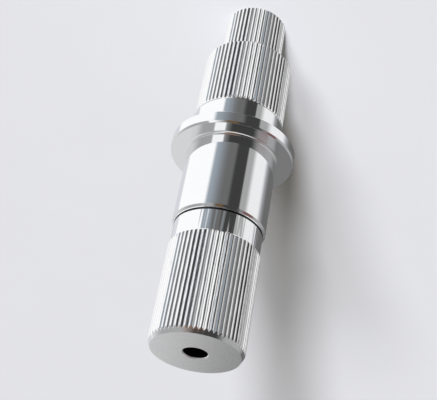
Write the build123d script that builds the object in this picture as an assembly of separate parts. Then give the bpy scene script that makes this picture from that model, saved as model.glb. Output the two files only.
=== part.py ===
from build123d import *
import math
import os

# One piece turned from round aluminium bar. It stands on its small splined stub, bored end up.
# Lengths follow each other from the foot upwards; diameters of toothed seats are over the crests.

# stub at the foot
stub_d = 14.2
stub_len = 13.5
stub_teeth = 43
stub_turn = 4.5           # degrees from +X to the middle of a groove

# rear seat, and the plain land between it and the flange
land_d = 20.0
land_len = 6.5
crest_rise = 0.1          # tooth crests stand this far above the plain land
rear_len = 17.0
rear_teeth = 60
rear_turn = 3.7

# thrust flange
flange_d = 27.5
flange_t = 3.0

# journal with its corner radius at the flange, a small chamfer and a short taper at its other end
journal_d = 20.0
journal_len = 18.2
corner_r = 0.6
journal_chamfer_len = 0.4
journal_chamfer_depth = 0.4
taper_len = 0.2
taper_depth = 0.05

# neck between the journal and the head, with a relief groove under the journal's end
neck_d = 19.0
neck_len = 4.7
relief_len = 0.5
relief_depth = 0.3        # below the neck

# head, the long toothed seat with the bored end face
head_over_neck = 0.3      # tooth crests of the head above the neck
head_len = 23.0
head_lead = 0.35          # sloped lower end of the head
head_teeth = 59
head_turn = 3.1

# edges
end_chamfer_len = 1.2
end_chamfer_depth = 0.6
seat_chamfer = 0.3
edge_break = 0.35

# straight V teeth, pressed in by a wheel
tooth_depth = 0.25
tooth_angle = 112         # degrees between the flanks of a groove
tooth_runout = 0.5        # length over which a groove rises to the surface
cutter_reach = 1.3        # height of the cutter, in tooth depths

# blind drilled hole in the end face
hole_d = 5.0
hole_depth = 18.0
hole_break = 0.2
drill_point = 118         # degrees

# levels from the foot up
rear_lo = stub_len
rear_hi = rear_lo + rear_len
flange_lo = rear_hi + land_len
flange_hi = flange_lo + flange_t
journal_hi = flange_hi + journal_len
taper_lo = journal_hi + journal_chamfer_len
shoulder = taper_lo + taper_len
neck_lo = shoulder + relief_len
head_lo = neck_lo + neck_len
top = head_lo + head_len

# radii
stub_r = stub_d / 2
land_r = land_d / 2
rear_r = land_r + crest_rise
flange_r = flange_d / 2
journal_r = journal_d / 2
taper_r = journal_r - journal_chamfer_depth
neck_r = neck_d / 2
head_r = neck_r + head_over_neck
hole_r = hole_d / 2


def half_section():
    """Everything the lathe leaves, as (radius, height) from the foot to the end face."""
    corner_out = (journal_r + corner_r, flange_hi)
    corner_up = (journal_r, flange_hi + corner_r)
    with BuildLine() as edge:
        Polyline(
            (0, 0),
            (stub_r - seat_chamfer, 0),
            (stub_r, seat_chamfer),
            (stub_r, rear_lo),
            (rear_r - seat_chamfer, rear_lo),
            (rear_r, rear_lo + seat_chamfer),
            (rear_r, rear_hi - crest_rise),
            (land_r, rear_hi),
            (land_r, flange_lo),
            (flange_r - edge_break, flange_lo),
            (flange_r, flange_lo + edge_break),
            (flange_r, flange_hi - edge_break),
            (flange_r - edge_break, flange_hi),
            corner_out,
        )
        RadiusArc(corner_out, corner_up, corner_r)
        Polyline(
            corner_up,
            (journal_r, journal_hi),
            (taper_r, taper_lo),
            (taper_r - taper_depth, shoulder),
            (neck_r - relief_depth, shoulder),
            (neck_r - relief_depth, neck_lo),
            (neck_r, neck_lo),
            (neck_r, head_lo),
            (head_r, head_lo + head_lead),
            (head_r, top - end_chamfer_len),
            (head_r - end_chamfer_depth, top),
            (0, top),
            (0, 0),
        )
    return make_face(edge.line)


def vee(crest_r, z, lift):
    """Section of the groove cutter at height z, its tip lifted off the root by lift."""
    root = crest_r - tooth_depth + lift
    back = root + cutter_reach * tooth_depth
    half = (back - root) * math.tan(math.radians(tooth_angle / 2))
    return Wire.make_polygon([(root, 0, z), (back, half, z), (back, -half, z)])


def grooves(crest_r, lo, hi, count, turn, fades_lo=False, fades_hi=False):
    """The V cutters of one seat. An end that fades runs out to the surface."""
    stops = [(lo, tooth_depth), (lo + tooth_runout, 0)] if fades_lo else [(lo, 0)]
    stops += [(hi - tooth_runout, 0), (hi, tooth_depth)] if fades_hi else [(hi, 0)]
    cutter = Solid.make_loft([vee(crest_r, z, lift) for z, lift in stops], ruled=True)
    return [cutter.rotate(Axis.Z, turn + 360 * i / count) for i in range(count)]


def drilled_hole():
    """Blind hole with a drill point and a broken mouth, its mouth at the top face."""
    centre = Align.CENTER
    bore = Cylinder(hole_r, hole_depth, align=(centre, centre, Align.MAX))
    point_len = hole_r / math.tan(math.radians(drill_point / 2))
    point = Pos(0, 0, -hole_depth) * Cone(0, hole_r, point_len, align=(centre, centre, Align.MAX))
    mouth = Cone(hole_r, hole_r + hole_break, hole_break, align=(centre, centre, Align.MAX))
    return Pos(0, 0, top) * (bore + point + mouth)


shaft = revolve(Plane.XZ * half_section(), Axis.Z)
clear = 2 * tooth_depth   # an open groove is cut this far past its end
shaft -= grooves(stub_r, -clear, rear_lo, stub_teeth, stub_turn)
shaft -= grooves(rear_r, rear_lo - clear, rear_hi, rear_teeth, rear_turn, fades_hi=True)
shaft -= grooves(head_r, head_lo, top + clear, head_teeth, head_turn, fades_lo=True)
shaft -= drilled_hole()

os.makedirs("parts", exist_ok=True)
export_step(shaft, "parts/turned_shaft.step")
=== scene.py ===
import bmesh
import bpy
import math
import random
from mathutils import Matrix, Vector


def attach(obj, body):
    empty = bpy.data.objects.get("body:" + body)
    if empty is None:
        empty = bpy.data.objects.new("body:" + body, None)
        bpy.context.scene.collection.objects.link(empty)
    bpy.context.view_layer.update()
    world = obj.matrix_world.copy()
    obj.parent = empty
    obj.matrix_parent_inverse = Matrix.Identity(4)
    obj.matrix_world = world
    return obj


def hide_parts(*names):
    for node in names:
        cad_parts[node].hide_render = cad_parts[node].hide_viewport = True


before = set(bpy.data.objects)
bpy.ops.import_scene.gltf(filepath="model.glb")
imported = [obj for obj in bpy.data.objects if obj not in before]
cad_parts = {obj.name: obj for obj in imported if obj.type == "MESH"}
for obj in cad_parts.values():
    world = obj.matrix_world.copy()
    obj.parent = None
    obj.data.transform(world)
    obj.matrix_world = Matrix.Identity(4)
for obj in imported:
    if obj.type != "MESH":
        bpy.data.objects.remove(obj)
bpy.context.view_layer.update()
mm = 0.001
print("frame loaded")


# helpers for node trees

def addNode(tree, kind, place=(0, 0), **settings):
    node = tree.nodes.new(kind)
    node.location = place
    for name, value in settings.items():
        setattr(node, name, value)
    return node


def plug(tree, value, socket):
    # a number or colour is set on the socket, anything else is a link
    if isinstance(value, (int, float)):
        socket.default_value = value
    elif isinstance(value, tuple):
        socket.default_value = (*value, 1) if len(value) == 3 else value
    elif value is not None:
        tree.links.new(value, socket)


def addMath(tree, operation, a, b=None, place=(0, 0)):
    node = addNode(tree, "ShaderNodeMath", place, operation=operation)
    plug(tree, a, node.inputs[0])
    plug(tree, b, node.inputs[1])
    return node.outputs[0]


def addRange(tree, value, low, high, toLow=0.0, toHigh=1.0, place=(0, 0), kind="LINEAR"):
    node = addNode(tree, "ShaderNodeMapRange", place, interpolation_type=kind)
    plug(tree, value, node.inputs["Value"])
    for name, number in (("From Min", low), ("From Max", high), ("To Min", toLow), ("To Max", toHigh)):
        plug(tree, number, node.inputs[name])
    return node.outputs["Result"]


def addMix(tree, factor, a, b, place=(0, 0), blend="MIX"):
    node = addNode(tree, "ShaderNodeMix", place, data_type="RGBA", blend_type=blend)
    plug(tree, factor, node.inputs[0])
    plug(tree, a, node.inputs[6])
    plug(tree, b, node.inputs[7])
    return node.outputs[2]


def addBlend(tree, factor, a, b, place=(0, 0)):
    node = addNode(tree, "ShaderNodeMix", place, data_type="FLOAT")
    plug(tree, factor, node.inputs[0])
    plug(tree, a, node.inputs[2])
    plug(tree, b, node.inputs[3])
    return node.outputs[0]


def newGroup(name, inputs, outputs):
    group = bpy.data.node_groups.new(name, "ShaderNodeTree")
    for label, value in inputs:
        socket = group.interface.new_socket(name=label, in_out="INPUT", socket_type="NodeSocketFloat")
        socket.default_value = value
    for label in outputs:
        group.interface.new_socket(name=label, in_out="OUTPUT", socket_type="NodeSocketFloat")
    return group, addNode(group, "NodeGroupInput", (-900, 0)), addNode(group, "NodeGroupOutput", (900, 0))


def useGroup(tree, group, place=(0, 0), **values):
    node = addNode(tree, "ShaderNodeGroup", place, node_tree=group)
    for name, value in values.items():
        plug(tree, value, node.inputs[name])
    return node


# effects that several finishes share

def buildTurningMarks():
    # rings left by the tool: they follow the height on a wall and the radius on a face
    group, start, end = newGroup(
        "turningMarks", [("Spacing", 0.12), ("Wobble", 0.1), ("OnFace", 0.0)], ["Lines", "Bands"])
    link = group.links.new
    coords = addNode(group, "ShaderNodeTexCoord", (-900, 300))
    split = addNode(group, "ShaderNodeSeparateXYZ", (-720, 300))
    link(coords.outputs["Object"], split.inputs[0])
    xx = addMath(group, "MULTIPLY", split.outputs[0], split.outputs[0], (-560, 400))
    yy = addMath(group, "MULTIPLY", split.outputs[1], split.outputs[1], (-560, 250))
    radius = addMath(group, "SQRT", addMath(group, "ADD", xx, yy, (-420, 330)), None, (-280, 330))
    along = addBlend(group, start.outputs["OnFace"], split.outputs[2], radius, (-120, 300))
    inMm = addMath(group, "MULTIPLY", along, 1000, (40, 300))
    cloud = addNode(group, "ShaderNodeTexNoise", (-120, 60))
    cloud.inputs["Scale"].default_value = 260
    link(coords.outputs["Object"], cloud.inputs["Vector"])
    shift = addMath(group, "MULTIPLY", cloud.outputs[0], start.outputs["Wobble"], (40, 60))
    steps = addMath(group, "DIVIDE", addMath(group, "ADD", inMm, shift, (200, 300)),
                    start.outputs["Spacing"], (340, 300))
    lines = addNode(group, "ShaderNodeTexNoise", (500, 300), noise_dimensions="1D")
    lines.inputs["Scale"].default_value = 1
    link(steps, lines.inputs["W"])
    bands = addNode(group, "ShaderNodeTexNoise", (660, 60), noise_dimensions="1D")
    bands.inputs["Scale"].default_value = 0.11
    link(steps, bands.inputs["W"])
    link(lines.outputs[0], end.inputs["Lines"])
    link(bands.outputs[0], end.inputs["Bands"])
    return group


def buildHandling():
    # faint smears and specks of a part that has been handled
    group, start, end = newGroup("handling", [("Size", 180.0), ("Amount", 0.5)], ["Smears", "Specks"])
    link = group.links.new
    coords = addNode(group, "ShaderNodeTexCoord", (-700, 300))
    cloud = addNode(group, "ShaderNodeTexNoise", (-500, 300))
    cloud.inputs["Detail"].default_value = 3
    link(coords.outputs["Object"], cloud.inputs["Vector"])
    link(start.outputs["Size"], cloud.inputs["Scale"])
    smears = addRange(group, cloud.outputs[0], 0.42, 0.68, place=(-300, 300), kind="SMOOTHSTEP")
    grains = addNode(group, "ShaderNodeTexVoronoi", (-500, 0))
    grains.inputs["Scale"].default_value = 700
    link(coords.outputs["Object"], grains.inputs["Vector"])
    specks = addRange(group, grains.outputs["Distance"], 0.12, 0.05, place=(-300, 0), kind="SMOOTHSTEP")
    link(addMath(group, "MULTIPLY", smears, start.outputs["Amount"], (0, 300)), end.inputs["Smears"])
    link(addMath(group, "MULTIPLY", specks, start.outputs["Amount"], (0, 0)), end.inputs["Specks"])
    return group


turningMarks = buildTurningMarks()
handling = buildHandling()
print("shared effects ready")


# finishes

def newFinish(name, roughness, metallic=1.0):
    material = bpy.data.materials.new(name)
    material.use_nodes = True
    tree = material.node_tree
    tree.nodes.clear()
    out = addNode(tree, "ShaderNodeOutputMaterial", (900, 0))
    shader = addNode(tree, "ShaderNodeBsdfPrincipled", (600, 0))
    shader.inputs["Metallic"].default_value = metallic
    shader.inputs["Roughness"].default_value = roughness
    tree.links.new(shader.outputs[0], out.inputs[0])
    return material, tree, shader


def turnedFinish(name, look):
    material, tree, shader = newFinish(name, look["roughness"])
    marks = useGroup(tree, turningMarks, (-600, 200), Spacing=look["spacing"], Wobble=look["wobble"],
                     OnFace=look["onFace"])
    touch = useGroup(tree, handling, (-600, -200), Size=look["smearSize"], Amount=look["smears"])
    bright = addMix(tree, marks.outputs["Bands"], look["dull"], look["bright"], (-300, 300))
    worn = addMix(tree, touch.outputs["Specks"], bright, look["speck"], (-100, 300))
    plug(tree, worn, shader.inputs["Base Color"])
    lined = addRange(tree, marks.outputs["Lines"], 0.3, 0.7, look["roughness"] - look["roughRange"],
                     look["roughness"] + look["roughRange"], (-100, 0))
    smeared = addMath(tree, "MULTIPLY", touch.outputs["Smears"], look["smearRough"], (-100, -200))
    plug(tree, addMath(tree, "ADD", lined, smeared, (150, 0)), shader.inputs["Roughness"])
    bump = addNode(tree, "ShaderNodeBump", (300, -300))
    bump.inputs["Strength"].default_value = look["bump"]
    bump.inputs["Distance"].default_value = look["bumpDepth"] * mm
    plug(tree, marks.outputs["Lines"], bump.inputs["Height"])
    if look.get("streaks"):
        # shallow streaks along the shaft, dragged by the wheel next to it
        coords = addNode(tree, "ShaderNodeTexCoord", (-600, -600))
        stretch = addNode(tree, "ShaderNodeMapping", (-400, -600))
        stretch.inputs["Scale"].default_value = look["streakStretch"]
        tree.links.new(coords.outputs["Object"], stretch.inputs["Vector"])
        drag = addNode(tree, "ShaderNodeTexNoise", (-200, -600))
        drag.inputs["Scale"].default_value = 1
        drag.inputs["Detail"].default_value = 1
        tree.links.new(stretch.outputs[0], drag.inputs["Vector"])
        wave = addNode(tree, "ShaderNodeBump", (100, -500))
        wave.inputs["Strength"].default_value = 1
        wave.inputs["Distance"].default_value = look["streaks"] * mm
        plug(tree, drag.outputs[0], wave.inputs["Height"])
        plug(tree, wave.outputs[0], bump.inputs["Normal"])
    plug(tree, bump.outputs[0], shader.inputs["Normal"])
    return material


polishedWall = {
    "roughness": 0.035, "roughRange": 0.015, "spacing": 0.09, "wobble": 0.02, "onFace": 0.0,
    "smearSize": 160.0, "smears": 0.5, "smearRough": 0.03, "bump": 0.3, "bumpDepth": 0.001,
    "bright": (0.93, 0.935, 0.945), "dull": (0.90, 0.905, 0.915), "speck": (0.80, 0.80, 0.81),
}
polishedFace = dict(polishedWall, onFace=1.0, spacing=0.12)
satinFace = dict(
    polishedWall, onFace=1.0, roughness=0.28, roughRange=0.04, spacing=0.10, wobble=0.04, bump=0.4,
    bumpDepth=0.004, bright=(0.90, 0.905, 0.915), dull=(0.86, 0.865, 0.875), smears=0.4,
)
chamferCut = dict(polishedWall, roughness=0.09, roughRange=0.03, spacing=0.16, bump=0.5, bumpDepth=0.003)
# darkened metal for the relief groove and the shoulder step: painted shade of the recess
reliefShadeLook = dict(
    polishedWall, roughness=0.30, roughRange=0.06, bright=(0.30, 0.30, 0.31), dull=(0.18, 0.18, 0.19),
)
draggedWall = dict(polishedWall, roughness=0.1, streaks=0.22, streakStretch=(900, 900, 40))

turnedWall = turnedFinish("turnedWall", polishedWall)
turnedFace = turnedFinish("turnedFace", polishedFace)
facedEnd = turnedFinish("facedEnd", satinFace)
turnedChamfer = turnedFinish("turnedChamfer", chamferCut)
reliefPaintedShade = turnedFinish("reliefPaintedShade", reliefShadeLook)
neckWall = turnedFinish("neckWall", draggedWall)


def toothFinish(look):
    # crests are burnished by the wheel, flanks are dragged and a little rough, roots are darker towards the groove
    # floor: painted shade in the grooves
    material, tree, shader = newFinish("pressedTeeth", look["flankRough"])
    height = addNode(tree, "ShaderNodeAttribute", (-900, 300), attribute_name="toothHeight")
    crest = addRange(tree, height.outputs["Fac"], 0.75, 0.95, place=(-700, 300))
    root = addRange(tree, height.outputs["Fac"], 0.45, 0.0, place=(-700, 100))
    coords = addNode(tree, "ShaderNodeTexCoord", (-1100, -200))
    drag = addNode(tree, "ShaderNodeMapping", (-900, -200))
    drag.inputs["Scale"].default_value = look["dragStretch"]
    tree.links.new(coords.outputs["Object"], drag.inputs["Vector"])
    burr = addNode(tree, "ShaderNodeTexNoise", (-700, -200))
    burr.inputs["Scale"].default_value = 1
    burr.inputs["Detail"].default_value = 2
    tree.links.new(drag.outputs[0], burr.inputs["Vector"])
    metal = addMix(tree, crest, look["flank"], look["crest"], (-400, 300))
    # darker towards the groove roots: painted shade
    rootShadeMix = addMath(tree, "MULTIPLY", root, look["rootShadeAmount"], (-400, 100))
    plug(tree, addMix(tree, rootShadeMix, metal, look["root"], (-200, 300)), shader.inputs["Base Color"])
    rough = addBlend(tree, crest, look["flankRough"], look["crestRough"], (-400, -50))
    spread = addRange(tree, burr.outputs[0], 0.35, 0.65, -look["roughRange"], look["roughRange"], (-400, -250))
    plug(tree, addMath(tree, "ADD", rough, spread, (-100, -50)), shader.inputs["Roughness"])
    bump = addNode(tree, "ShaderNodeBump", (300, -300))
    bump.inputs["Strength"].default_value = look["bump"]
    bump.inputs["Distance"].default_value = look["bumpDepth"] * mm
    plug(tree, burr.outputs[0], bump.inputs["Height"])
    plug(tree, bump.outputs[0], shader.inputs["Normal"])
    return material


# the root colour and its amount are painted shade in the groove roots
pressedTeeth = toothFinish({
    "crest": (0.94, 0.94, 0.945), "flank": (0.93, 0.93, 0.935), "root": (0.70, 0.70, 0.71), "rootShadeAmount": 0.25,
    "crestRough": 0.08, "flankRough": 0.09, "roughRange": 0.03,
    "dragStretch": (4200, 4200, 900), "bump": 0.6, "bumpDepth": 0.018,
})


# the drilled hole's wall is near-black metal: painted shade inside the hole
def holeFinish(look):
    material, tree, shader = newFinish("holeWallPaintedShade", look["roughness"])
    marks = useGroup(tree, turningMarks, (-600, 200), Spacing=look["spacing"], Wobble=0.05, OnFace=0.0)
    plug(tree, addMix(tree, marks.outputs["Lines"], look["dark"], look["light"], (-200, 200)),
         shader.inputs["Base Color"])
    bump = addNode(tree, "ShaderNodeBump", (300, -300))
    bump.inputs["Strength"].default_value = 0.5
    bump.inputs["Distance"].default_value = 0.01 * mm
    plug(tree, marks.outputs["Lines"], bump.inputs["Height"])
    plug(tree, bump.outputs[0], shader.inputs["Normal"])
    return material


# both colours are near black: painted shade inside the drilled hole
holeWallPaintedShade = holeFinish({
    "roughness": 0.5, "spacing": 0.25, "dark": (0.02, 0.02, 0.022), "light": (0.06, 0.06, 0.065),
})
finishes = [turnedWall, turnedFace, facedEnd, turnedChamfer, reliefPaintedShade, neckWall, pressedTeeth, holeWallPaintedShade]
print("finishes ready")


# the shaft, stood on its stub, in millimetres from the foot

shaftSizes = {
    "stubRadius": 7.1, "stubTop": 13.5, "stubTeeth": 43, "stubTurn": 4.5,
    "rearCrest": 10.1, "rearTop": 30.5, "rearTeeth": 60, "rearTurn": 3.7, "landRadius": 10.0,
    "flangeRadius": 13.75, "flangeFrom": 37.0, "flangeTo": 40.0, "edgeBreak": 0.35,
    "journalRadius": 10.0, "cornerRadius": 0.6, "journalTop": 58.2, "taperFrom": 58.6, "taperFromRadius": 9.6,
    "shoulderTop": 58.8, "shoulderRadius": 9.55, "reliefTo": 59.3, "reliefRadius": 9.2,
    "neckRadius": 9.5, "headFrom": 64.0, "headLead": 0.35, "headCrest": 9.8, "headTeeth": 59, "headTurn": 3.1,
    "chamferLen": 1.2, "chamferDepth": 0.6, "top": 87.0, "seatChamfer": 0.3,
    "toothDepth": 0.25, "toothAngle": 112, "toothRunout": 0.5,
    "holeRadius": 2.5, "holeBreak": 0.2, "holeFloor": 69.0, "drillPoint": 67.5,
    "roundSides": 384, "holeSides": 96, "ringStep": 0.75,
}


class ShaftMesh:
    def __init__(self):
        self.points = []
        self.heights = []
        self.faces = []
        self.slots = []

    def addPoint(self, radius, angle, z, height=1.0):
        self.points.append((radius * math.cos(angle) * mm, radius * math.sin(angle) * mm, z * mm))
        self.heights.append(height)
        return len(self.points) - 1

    def addFace(self, corners, finish):
        self.faces.append(corners)
        self.slots.append(finishes.index(finish))

    def plainRing(self, radius, z, sides):
        angles = [2 * math.pi * i / sides for i in range(sides)]
        return [(angle, self.addPoint(radius, angle, z)) for angle in angles]

    def band(self, lower, upper, finish):
        # two rings with the same number of points
        count = len(lower)
        for i in range(count):
            j = (i + 1) % count
            self.addFace((lower[i][1], lower[j][1], upper[j][1], upper[i][1]), finish)

    def stitch(self, inner, outer, finish):
        # two rings with different numbers of points: the one whose next point comes first moves on
        turn = 2 * math.pi
        ringA = sorted((angle % turn, point) for angle, point in inner)
        ringB = sorted((angle % turn, point) for angle, point in outer)
        a = b = 0
        while a < len(ringA) or b < len(ringB):
            nextA = ringA[(a + 1) % len(ringA)][0] + turn * ((a + 1) // len(ringA))
            nextB = ringB[(b + 1) % len(ringB)][0] + turn * ((b + 1) // len(ringB))
            pointA, pointB = ringA[a % len(ringA)][1], ringB[b % len(ringB)][1]
            if b >= len(ringB) or (a < len(ringA) and nextA <= nextB):
                self.addFace((pointA, pointB, ringA[(a + 1) % len(ringA)][1]), finish)
                a += 1
            else:
                self.addFace((pointA, pointB, ringB[(b + 1) % len(ringB)][1]), finish)
                b += 1

    def cap(self, ring, z, finish):
        middle = self.addPoint(0, 0, z)
        for i in range(len(ring)):
            self.addFace((ring[i][1], ring[(i + 1) % len(ring)][1], middle), finish)


def easedPath(corners, steps=3, support=0.03):
    # corners are (radius, z, rounding): each rounding becomes a small arc with a support point on either side
    path = []
    for k, (r, z, rounding) in enumerate(corners):
        if rounding == 0 or k in (0, len(corners) - 1):
            path.append((r, z))
            continue
        here = Vector((r, z))
        back = (Vector(corners[k - 1][:2]) - here).normalized()
        ahead = (Vector(corners[k + 1][:2]) - here).normalized()
        half = back.angle(ahead) / 2
        reach = rounding / math.tan(half)
        centre = here + (back + ahead).normalized() * (rounding / math.sin(half))
        first, last = here + back * reach, here + ahead * reach
        path.append(tuple(first + back * support))
        count = steps if rounding > 0.2 else 3
        for i in range(count + 1):
            spoke = (first - centre).lerp(last - centre, i / count).normalized() * rounding
            path.append(tuple(centre + spoke))
        path.append(tuple(last + ahead * support))
    return path


def spreadPath(path, step, lo, hi):
    # more rings between lo and hi, so that worn teeth can wander
    out = [path[0]]
    for (r0, z0), (r1, z1) in zip(path, path[1:]):
        if z1 - z0 > step and z0 >= lo - 0.01 and z1 <= hi + 0.01:
            count = math.ceil((z1 - z0) / step)
            out += [(r0 + (r1 - r0) * i / count, z0 + (z1 - z0) * i / count) for i in range(1, count)]
        out.append((r1, z1))
    return out


class Wander:
    # smooth seeded noise along the shaft, one thread for each tooth side
    def __init__(self, seed, threads, knots):
        dice = random.Random(seed)
        self.values = [[dice.uniform(-1, 1) for _ in range(knots + 2)] for _ in range(threads)]
        self.knots = knots

    def at(self, thread, share):
        row = self.values[thread % len(self.values)]
        place = max(0.0, min(0.9999, share)) * self.knots
        i = int(place)
        t = place - i
        t = t * t * (3 - 2 * t)
        return row[i] * (1 - t) + row[i + 1] * t


# how far a worn groove strays, and the spacing of its noise along the shaft, in millimetres
toothWear = {"depth": 0.03, "aside": 0.025, "coarseStep": 2.6, "fineStep": 1.3}


def toothedRings(shape, path, seat):
    # rings whose points follow the grooves: root, flank, rounded edge and crest
    count, crest = seat["teeth"], seat["crest"]
    pitch = 2 * math.pi * crest / count
    spread = math.tan(math.radians(seat["angle"] / 2))
    lo, hi = seat["from"], seat["to"]
    coarse = Wander(seat["seed"], 2 * count, round((hi - lo) / toothWear["coarseStep"]))
    fine = Wander(seat["seed"] + 1, 2 * count, round((hi - lo) / toothWear["fineStep"]))
    rings = []
    for radius, z in path:
        lift = 0.0
        if seat.get("fadesLow"):
            lift = max(lift, seat["depth"] * (1 - (z - lo) / seat["runout"]))
        if seat.get("fadesHigh"):
            lift = max(lift, seat["depth"] * (1 - (hi - z) / seat["runout"]))
        ring = []
        for i in range(count):
            share = (z - lo) / (hi - lo)
            # wear deepens a groove, and so widens it, or moves it sideways; its flanks keep their slope
            deeper, aside = [
                seat["wear"] * (0.5 * coarse.at(thread, share) + 0.5 * fine.at(thread, share))
                for thread in (2 * i, 2 * i + 1)]
            root = crest - seat["depth"] + lift - toothWear["depth"] * deeper
            open_ = max(0.0, min(1.0, (radius - root) / 0.1))     # no wander where the groove has run out
            half = max(0.12, (radius - root) * spread)
            middle = (math.radians(seat["turn"]) + 2 * math.pi * i / count
                      + toothWear["aside"] * aside * open_ / crest)
            offsets = [-half - 0.02, -half + 0.02, -half + 0.06, -0.045, -0.015,
                       0.015, 0.045, half - 0.06, half - 0.02, half + 0.02, pitch / 2]
            for k, offset in enumerate(offsets):
                floor = root + abs(offset) * (radius - root) / half
                local = min(radius, floor) if k not in (0, 9, 10) else radius
                if root >= radius:
                    local = radius
                angle = middle + offset / crest
                height = max(0.0, 1 - (radius - local) / seat["depth"])
                ring.append((angle, shape.addPoint(local, angle, z, height)))
        rings.append(ring)
    return rings


def buildShaft(s):
    shape = ShaftMesh()

    def toothed(corners, seat, finishAt):
        path = easedPath(corners)
        path = spreadPath(path, s["ringStep"], seat["from"], seat["to"])
        rings = toothedRings(shape, path, seat)
        for (lower, upper), (a, b) in zip(zip(rings, rings[1:]), zip(path, path[1:])):
            shape.band(lower, upper, finishAt((a[1] + b[1]) / 2))
        return rings

    # stub, from the foot face
    stubSeat = {"teeth": s["stubTeeth"], "turn": s["stubTurn"], "crest": s["stubRadius"], "from": 0.0,
                "to": s["stubTop"], "depth": s["toothDepth"], "angle": s["toothAngle"], "seed": 11, "wear": 0.6}
    stub = toothed(
        [(s["stubRadius"] - s["seatChamfer"], 0, 0), (s["stubRadius"], s["seatChamfer"], 0.05),
         (s["stubRadius"], s["stubTop"], 0)],
        stubSeat, lambda z: pressedTeeth)
    shape.cap(stub[0][::-1], 0, facedEnd)

    # rear seat and the plain land above it
    rearSeat = {"teeth": s["rearTeeth"], "turn": s["rearTurn"], "crest": s["rearCrest"], "from": s["stubTop"],
                "to": s["rearTop"], "depth": s["toothDepth"], "runout": s["toothRunout"], "fadesHigh": True,
                "angle": s["toothAngle"], "seed": 23, "wear": 0.7}
    rise = s["rearCrest"] - s["landRadius"]
    rear = toothed(
        [(s["rearCrest"] - s["seatChamfer"], s["stubTop"], 0),
         (s["rearCrest"], s["stubTop"] + s["seatChamfer"], 0.05),
         (s["rearCrest"], s["rearTop"] - s["toothRunout"], 0), (s["rearCrest"], s["rearTop"] - 0.4, 0),
         (s["rearCrest"], s["rearTop"] - 0.3, 0), (s["rearCrest"], s["rearTop"] - 0.2, 0),
         (s["rearCrest"], s["rearTop"] - rise, 0.03),
         (s["landRadius"], s["rearTop"], 0.03), (s["landRadius"], s["flangeFrom"], 0)],
        rearSeat, lambda z: pressedTeeth if z < s["rearTop"] else turnedWall)
    shape.stitch(rear[0], stub[-1], turnedFace)

    # flange, corner radius, journal and its taper
    flangeBreak = s["edgeBreak"]
    sides = s["roundSides"]
    body = easedPath([
        (s["flangeRadius"] - flangeBreak, s["flangeFrom"], 0),
        (s["flangeRadius"], s["flangeFrom"] + flangeBreak, 0.08),
        (s["flangeRadius"], s["flangeTo"] - flangeBreak, 0.04),
        (s["flangeRadius"] - flangeBreak, s["flangeTo"], 0.03),
        (s["journalRadius"], s["flangeTo"], s["cornerRadius"]),
        (s["journalRadius"], s["journalTop"], 0.04),
        (s["taperFromRadius"], s["taperFrom"], 0.04),
        (s["shoulderRadius"], s["shoulderTop"], 0.03),
        (s["reliefRadius"], s["shoulderTop"], 0)], steps=10)
    rings = [shape.plainRing(r, z, sides) for r, z in body]
    for lower, upper, a, b in zip(rings, rings[1:], body, body[1:]):
        flat = abs(a[1] - b[1]) < 1e-6
        # the flat shoulder step above the journal is darkened metal: painted shade
        shape.band(lower, upper, reliefPaintedShade if flat and a[1] > s["journalTop"] else turnedFace if flat else turnedWall)
    # the relief groove's wall is darkened metal: painted shade
    relief = shape.plainRing(s["reliefRadius"], s["reliefTo"], sides)
    shape.band(rings[-1], relief, reliefPaintedShade)
    shape.stitch(rings[0], rear[-1], turnedFace)

    # neck and head
    headSeat = {"teeth": s["headTeeth"], "turn": s["headTurn"], "crest": s["headCrest"], "from": s["headFrom"],
                "to": s["top"], "depth": s["toothDepth"], "runout": s["toothRunout"], "fadesLow": True,
                "angle": s["toothAngle"], "seed": 37, "wear": 1.0}
    chamferFrom = s["top"] - s["chamferLen"]
    slope = s["chamferDepth"] / s["chamferLen"]
    steps = [(s["headCrest"] - slope * d, chamferFrom + d, 0) for d in (0.12, 0.24, 0.36, 0.48, 0.56)]
    head = toothed(
        [(s["neckRadius"], s["reliefTo"], 0), (s["neckRadius"], s["headFrom"], 0.02),
         (s["neckRadius"] + 0.1, s["headFrom"] + 0.12, 0), (s["neckRadius"] + 0.2, s["headFrom"] + 0.24, 0),
         (s["headCrest"], s["headFrom"] + s["headLead"], 0.03),
         (s["headCrest"], s["headFrom"] + s["toothRunout"] + 0.05, 0),
         (s["headCrest"], chamferFrom, 0.02), *steps,
         (s["headCrest"] - s["chamferDepth"], s["top"], 0)],
        headSeat,
        lambda z: neckWall if z < s["headFrom"] else pressedTeeth if z < chamferFrom + 0.5 else turnedChamfer)
    # the step from the groove up to the neck is darkened metal: painted shade
    shape.stitch(head[0], relief, reliefPaintedShade)

    # end face with its drilled hole
    holePath = [(s["holeRadius"] + s["holeBreak"], s["top"]), (s["holeRadius"], s["top"] - s["holeBreak"]),
                (s["holeRadius"], s["holeFloor"])]
    hole = [shape.plainRing(r, z, s["holeSides"]) for r, z in holePath]
    shape.stitch(hole[0], head[-1], facedEnd)
    for i, finish in enumerate((facedEnd, holeWallPaintedShade)):
        shape.band(hole[i + 1], hole[i], finish)
    shape.cap(hole[-1][::-1], s["drillPoint"], holeWallPaintedShade)

    mesh = bpy.data.meshes.new("turnedShaft")
    mesh.from_pydata(shape.points, [], shape.faces)
    for finish in finishes:
        mesh.materials.append(finish)
    mesh.polygons.foreach_set("material_index", shape.slots)
    mesh.polygons.foreach_set("use_smooth", [True] * len(shape.faces))
    heights = mesh.attributes.new("toothHeight", "FLOAT", "POINT")
    heights.data.foreach_set("value", shape.heights)
    mesh.validate()
    mesh.update()
    return mesh


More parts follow.
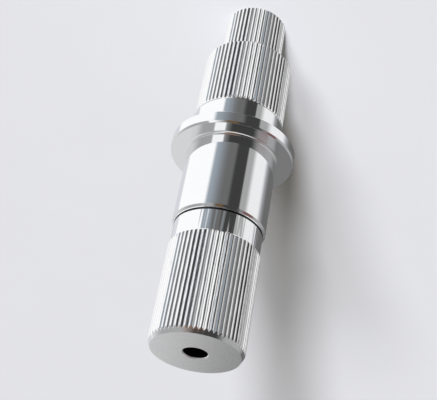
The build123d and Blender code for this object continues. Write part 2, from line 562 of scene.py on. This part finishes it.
def faceOutwards(mesh):
    work = bmesh.new()
    work.from_mesh(mesh)
    bmesh.ops.recalc_face_normals(work, faces=work.faces)
    open_ = [e for e in work.edges if len(e.link_faces) != 2]
    print("open edges", len(open_), "faces", len(work.faces), "triangles",
          sum(len(f.verts) - 2 for f in work.faces), "volume mm3", round(work.calc_volume() * 1e9, 1))
    work.to_mesh(mesh)
    work.free()


shaftMesh = buildShaft(shaftSizes)
faceOutwards(shaftMesh)
shaftMesh.set_sharp_from_angle(angle=math.radians(38))
shaft = bpy.data.objects.new("splinedShaft", shaftMesh)
bpy.context.collection.objects.link(shaft)
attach(shaft, "root")
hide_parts("turned_shaft")
print("shaft built")


# floor, lamps, world and camera

def buildFloor(look):
    mesh = bpy.data.meshes.new("floor")
    half = look["half"]
    corners = [(-half, -half, 0), (half, -half, 0), (half, half, 0), (-half, half, 0)]
    mesh.from_pydata(corners, [], [(0, 1, 2, 3)])
    material, tree, shader = newFinish("palePaper", look["roughness"], metallic=0.0)
    coords = addNode(tree, "ShaderNodeTexCoord", (-900, 0))
    fibre = addNode(tree, "ShaderNodeTexNoise", (-700, 0))
    fibre.inputs["Scale"].default_value = look["fibreScale"]
    tree.links.new(coords.outputs["Object"], fibre.inputs["Vector"])
    paper = addMix(tree, fibre.outputs[0], look["shade"], look["light"], (-400, 0))
    plug(tree, paper, shader.inputs["Base Color"])
    shader.inputs["Specular IOR Level"].default_value = 0.2
    mesh.materials.append(material)
    floor = bpy.data.objects.new("floor", mesh)
    bpy.context.collection.objects.link(floor)
    floor.visible_glossy = False    # the metal mirrors the studio bands in the world


buildFloor({"half": 6.0, "roughness": 0.9, "fibreScale": 30.0,
            "light": (0.875, 0.890, 0.962), "shade": (0.850, 0.865, 0.937)})

lamps = {
    # azimuth runs from the front, towards +X; elevation is above the floor; degrees
    "window": {"azimuth": 10.8, "elevation": 15.5, "strength": 5.9, "soft": 8, "color": (1.0, 0.995, 0.985)},
    "sideWindow": {"azimuth": 20, "elevation": 26, "strength": 2.0, "soft": 14, "color": (1.0, 0.995, 0.985)},
}
for name, lamp in lamps.items():
    light = bpy.data.lights.new(name, "SUN")
    light.energy = lamp["strength"]
    light.angle = math.radians(lamp["soft"])
    light.color = lamp["color"]
    holder = bpy.data.objects.new(name, light)
    bpy.context.collection.objects.link(holder)
    turn, lift = math.radians(lamp["azimuth"]), math.radians(lamp["elevation"])
    toLamp = Vector((math.sin(turn) * math.cos(lift), -math.cos(turn) * math.cos(lift), math.sin(lift)))
    holder.rotation_euler = toLamp.to_track_quat("Z", "Y").to_euler()
    holder.location = toLamp * 1.5
    holder.visible_glossy = False    # the metal mirrors the studio bands instead

# what the metal mirrors: a plain studio of soft edged panels, each laid over the ones before it
# azimuth runs from the front towards -X, in degrees; height is the upward part of the direction

studio = {
    "ambient": (0.12, 0.111, 0.084), "backdrop": (0.78, 0.795, 0.84),
    "room": (0.40, 0.40, 0.40),
    "panels": {
        "paper": {"azimuth": (-200, 200), "height": (-2, 0), "soft": 10, "color": (0.70, 0.70, 0.75)},
        "paperShadeRight": {"azimuth": (105, 200), "height": (-2, 0), "soft": 40, "color": (0.15, 0.15, 0.15)},
        "paperShadeLeft": {"azimuth": (-60, 30), "height": (-2, 0), "soft": 10, "color": (0.35, 0.40, 0.45)},
        "paperShadeFront": {"azimuth": (-25, 40), "height": (-2, 0), "soft": 40, "color": (0.15, 0.15, 0.15)},
        "paperDark": {"azimuth": (10, 60), "height": (-2, 0), "soft": 10, "color": (0.05, 0.05, 0.05)},
        "windowLeft": {"azimuth": (-130, -45), "height": (-2, 0), "soft": 10, "color": (1.05, 1.05, 1.05)},
        "frameRight": {"azimuth": (40, 65), "height": (-2, 0), "soft": 5, "color": (0.40, 0.40, 0.40)},
        "windowRight": {"azimuth": (60, 100), "height": (-2, 0), "soft": 15, "color": (0.90, 0.90, 0.90)},
        "wallLeft": {"azimuth": (-200, -110), "height": (0, 0.95), "soft": 40, "color": (0.70, 0.70, 0.70)},
        "wallRight": {"azimuth": (125, 200), "height": (0, 0.95), "soft": 30, "color": (0.20, 0.20, 0.20)},
        "figure": {"azimuth": (-25, 55), "height": (0.05, 0.95), "soft": 30, "color": (0.05, 0.05, 0.05)},
        "sleeve": {"azimuth": (-35, 5), "height": (0.05, 0.45), "soft": 25, "color": (0.25, 0.15, 0.10)},
        "card": {"azimuth": (-60, -30), "height": (0.50, 0.75), "soft": 5, "color": (1.05, 1.05, 1.05)},
        "woodLeft": {"azimuth": (-25, 0), "height": (0.75, 0.95), "soft": 15, "color": (0.15, 0.10, 0.05)},
        "woodRight": {"azimuth": (60, 90), "height": (0.60, 0.95), "soft": 15, "color": (0.20, 0.10, 0.10)},
        "ceiling": {"azimuth": (-200, 200), "height": (0.95, 2), "soft": 10, "color": (0.90, 0.90, 0.90)},
    },
    "heightSoft": 0.05,
}


def addSpanMask(tree, value, span, soft, place):
    # 1 between the two ends of span, fading over soft at each
    rise = addRange(tree, value, span[0] - soft / 2, span[0] + soft / 2, place=place, kind="SMOOTHSTEP")
    fall = addRange(tree, value, span[1] + soft / 2, span[1] - soft / 2, place=(place[0], place[1] - 120),
                    kind="SMOOTHSTEP")
    return addMath(tree, "MULTIPLY", rise, fall, (place[0] + 200, place[1]))


def buildWorld(look):
    world = bpy.data.worlds.new("studio")
    world.use_nodes = True
    world.cycles.sampling_method = "NONE"
    bpy.context.scene.world = world
    tree = world.node_tree
    tree.nodes.clear()
    coords = addNode(tree, "ShaderNodeTexCoord", (-1600, 0))
    split = addNode(tree, "ShaderNodeSeparateXYZ", (-1400, 0))
    tree.links.new(coords.outputs["Generated"], split.inputs[0])
    side = addMath(tree, "MULTIPLY", split.outputs[0], -1, (-1200, 200))
    front = addMath(tree, "MULTIPLY", split.outputs[1], -1, (-1200, 0))
    turn = addMath(tree, "ARCTAN2", side, front, (-1000, 100))
    azimuth = addMath(tree, "MULTIPLY", turn, 180 / math.pi, (-800, 100))
    mirrored = look["room"]
    for i, panel in enumerate(look["panels"].values()):
        low = -260 * i
        across = addSpanMask(tree, azimuth, panel["azimuth"], panel["soft"], (-600, low))
        upwards = addSpanMask(tree, split.outputs[2], panel["height"], look["heightSoft"], (-600, low - 240))
        mask = addMath(tree, "MULTIPLY", across, upwards, (-200, low))
        mirrored = addMix(tree, mask, mirrored, panel["color"], (0, low))
    path = addNode(tree, "ShaderNodeLightPath", (-100, 500))
    plain = addMix(tree, path.outputs["Is Camera Ray"], look["ambient"], look["backdrop"], (100, 400))
    color = addMix(tree, path.outputs["Is Glossy Ray"], plain, mirrored, (350, 250))
    shader = addNode(tree, "ShaderNodeBackground", (600, 250))
    plug(tree, color, shader.inputs[0])
    out = addNode(tree, "ShaderNodeOutputWorld", (800, 250))
    tree.links.new(shader.outputs[0], out.inputs[0])


buildWorld(studio)

cameraSettings = {
    "place": (0.0, -0.1772, 0.1640), "turn": (-57.0, 9.12, -174.5),    # metres; degrees about x, y and z
    "lens": 80.24, "sensor": 36.0,
}


def placeCamera(look):
    data = bpy.data.cameras.new("camera")
    data.lens = look["lens"]
    data.sensor_width = look["sensor"]
    data.clip_start = 0.01
    camera = bpy.data.objects.new("camera", data)
    bpy.context.collection.objects.link(camera)
    camera.location = look["place"]
    camera.rotation_euler = [math.radians(degrees) for degrees in look["turn"]]
    bpy.context.scene.camera = camera


placeCamera(cameraSettings)
bpy.context.scene.view_settings.view_transform = "Standard"
print("studio ready")
